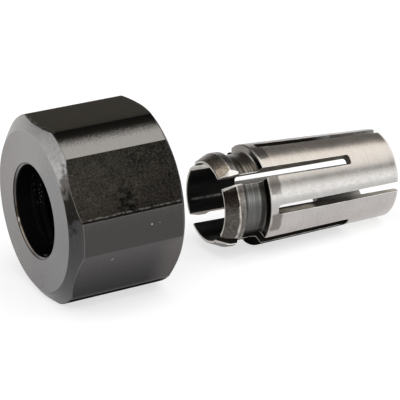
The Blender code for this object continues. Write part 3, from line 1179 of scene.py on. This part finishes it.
def slot_wall():
    """The sawn walls of the slots, with saw marks, brown on the near side; painted near black where
    shade falls and pale where light comes through the slots.
    """
    finish = Finish("slot_wall")
    angle, depth = finish.angle, finish.depth
    marks = finish.noise((4.0, 1.2, 1.2), 4.0)
    cloud = finish.noise(0.7, 3.0, 6.0)
    on_head = depth.step(2.4, 2.6, 1.0, 0.0)
    near_side = angle.between(22.0, 62.0, 5.0)
    far_side = angle.between(-156.0, -106.0, 3.0) | angle.between(-88.0, -70.0, 3.0)
    back_of_head = angle.between(-66.0, -24.0, 4.0) * on_head
    top_of_tail = angle.between(-14.0, 14.0, 4.0) * depth.step(12.5, 17.0)
    far_side = far_side | back_of_head | top_of_tail
    lower_wall = angle.between(90.0, 103.0, 3.0)
    back_sill = angle.between(-104.0, -91.0, 2.0)
    # Painted light and shade: walls outside these masks are near black, far walls and the back sill
    # pale where light comes through the slots or the open tail, and the lower walls dark from 10.6
    # to 14.6 mm deep.
    far_tone = finish.mix(angle.step(-120.0, -108.0), (0.28, 0.245, 0.215), (0.6, 0.575, 0.55))
    lower_tone = finish.by_depth(
        (6.0, 0.26, 0.225, 0.18),
        (7.6, 0.66, 0.595, 0.5),
        (10.1, 0.7, 0.63, 0.53),
        (10.6, 0.052, 0.046, 0.036),
        (13.2, 0.052, 0.046, 0.036),
        (14.6, 0.06, 0.053, 0.044),
        (16.0, 0.31, 0.285, 0.245),
        (18.5, 0.5, 0.46, 0.4),
    )
    tone = finish.mix(near_side, (0.022, 0.019, 0.016), (0.4, 0.355, 0.3))
    tone = finish.mix(far_side, tone, far_tone)
    tone = finish.mix(lower_wall, tone, lower_tone)
    tone = finish.mix(back_sill, tone, (0.85, 0.83, 0.8))
    # Painted light also makes the lower walls lighter towards the bore, and painted shade darkens
    # the other walls past 15.3 mm.
    closed_end = depth.step(15.1, 15.3, 1.0, 0.45)
    outward = finish.radius.step(4.1, 5.1, 1.7, 0.5)
    level = (0.3 + marks * 0.6 + cloud * 0.8) * finish.mixed(lower_wall, closed_end, outward)
    finish.set("Metallic", near_side | far_side)
    finish.set("Specular IOR Level", lower_wall * 0.4)
    return finish.done(finish.shaded(tone, level), marks.step(0.2, 0.8, 0.38, 0.55), marks, 0.015)


def collet_bore():
    """The collet's bore: nearly black with painted shade, paler towards the open tail with painted
    light, with drawn streaks and a painted reflection along one side.
    """
    finish = Finish("collet_bore", Metallic=0.7)
    streaks = finish.noise((0.3, 3.0, 3.0), 4.0)
    # Tone along the bore: painted shade, near black, lifting with painted light towards the tail
    # end.
    tone = finish.by_depth(
        (0.0, 0.014, 0.0135, 0.013),
        (14.0, 0.02, 0.019, 0.018),
        (18.0, 0.028, 0.025, 0.021),
        (19.3, 0.06, 0.055, 0.048),
        (20.6, 0.21, 0.197, 0.175),
    )
    ribs = finish.noise((3.0, 0.6, 0.6), 4.0, 2.0).step(0.3, 0.65)
    # A pale line along one side of the bore: a painted reflection.
    bore_reflection_line = finish.angle.between(-107.6, -104.2, 1.0) * ribs * finish.depth.step(0.2, 0.6)
    tone = finish.mix(bore_reflection_line * 0.62, tone, (0.4, 0.39, 0.37))
    colour = finish.shaded(tone, 0.3 + streaks * 1.4)
    return finish.done(colour, streaks.step(0.2, 0.8, 0.28, 0.45), streaks, 0.01)


def collet_end():
    """The collet's two end faces."""
    finish = Finish("collet_end", Metallic=1.0)
    rings = finish.turned_noise(9.0, 0.4)
    colour = finish.shaded((0.5, 0.475, 0.44), 0.7 + rings * 0.6)
    return finish.done(colour, rings.step(0.2, 0.8, 0.32, 0.45), rings, 0.01)


# Setting

def white_surface(name, glow_level):
    """A matt white that keeps the pair's shadow and glows where it is seen or mirrored."""
    white = (MATT_TONE, MATT_TONE, MATT_TONE, 1.0)
    surface = Surface(name, Base_Color=white, Roughness=MATT_ROUGHNESS, Specular_IOR_Level=0.0)
    surface.set("Emission Color", (1.0, 1.0, 1.0, 1.0))
    seen = surface.node("LightPath", {}, "Is Camera Ray")
    seen = seen | seen.output("Is Glossy Ray") | seen.output("Is Transmission Ray")
    surface.set("Emission Strength", seen * glow_level)
    return surface.material


def add_stage_piece(name, points, faces, material):
    """Part of the setting, which isn't part of the object."""
    mesh = bpy.data.meshes.new(name)
    mesh.from_pydata(points, [], faces)
    mesh.materials.append(material)
    add_object(name, mesh)


def add_floor():
    """A plain round white table and a low white wall round it."""
    turns = [2 * math.pi * i / BACKDROP_SIDES for i in range(BACKDROP_SIDES)]
    rim = [(BACKDROP_RADIUS * math.cos(a), BACKDROP_RADIUS * math.sin(a)) for a in turns]
    low = [(x, y, FLOOR_Z) for x, y in rim]
    high = [(x, y, BACKDROP_HEIGHT) for x, y in rim]
    table = [tuple(range(BACKDROP_SIDES))]
    add_stage_piece("floor", low, table, white_surface("white_table", FLOOR_GLOW))
    walls = []
    for i in range(BACKDROP_SIDES):
        n = (i + 1) % BACKDROP_SIDES
        walls.append((i, i + BACKDROP_SIDES, n + BACKDROP_SIDES, n))
    add_stage_piece("backdrop", low + high, walls, white_surface("white_wall", BACKDROP_GLOW))


def add_softbox(name, middle, lift, turn, width, height, radiance):
    """A soft light with a given brightness as seen in a mirror."""
    lamp = bpy.data.lights.new(name, "AREA")
    lamp.shape = "RECTANGLE"
    lamp.size = width
    lamp.size_y = height
    lamp.energy = radiance * math.pi * width * height
    box = add_object(name, lamp)
    box.location = middle
    box.rotation_euler = (math.radians(lift), 0.0, math.radians(turn))
    box.visible_camera = False


def add_lights():
    """A soft light overhead and pale cards in front and to the left; the far side stays dark."""
    for softbox in SOFTBOXES:
        add_softbox(*softbox)


def add_world():
    """A plain grey room."""
    world = bpy.data.worlds.new("room")
    world.use_nodes = True
    room = world.node_tree.nodes["Background"]
    room.inputs["Color"].default_value = (ROOM_LEVEL, ROOM_LEVEL, ROOM_LEVEL, 1.0)
    bpy.context.scene.world = world


def add_camera(origin):
    """The photograph's view."""
    data = bpy.data.cameras.new("camera")
    data.lens = CAMERA_LENS
    data.sensor_width = CAMERA_SENSOR
    data.clip_start = CAMERA_CLIP
    camera = add_object("camera", data)
    back = -CAMERA_AIM.normalized()
    right = CAMERA_RIGHT.normalized()
    up = back.cross(right).normalized()
    turn = Matrix((right, up, back)).transposed().to_4x4()
    camera.matrix_world = Matrix.Translation(origin + CAMERA_OFFSET) @ turn
    bpy.context.scene.camera = camera


nut_inside = dark_bore()
nut_materials = [turned_face(), nut_chamfer(), black_oxide(), nut_inside, lip_chamfer()]
nut = build_nut(nut_place(), nut_materials)
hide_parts("collet_nut")
build_thread(nut_place(), nut_inside)
collet_materials = [ground_steel(), filed_edge(), slot_wall(), collet_bore(), collet_end()]
collet = build_collet(collet_place(), collet_materials)
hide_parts("collet")

add_floor()
add_lights()
add_world()
add_camera(Vector((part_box("collet_nut")[0].x, 0.0, 0.0)))
bpy.context.scene.view_settings.view_transform = "Standard"
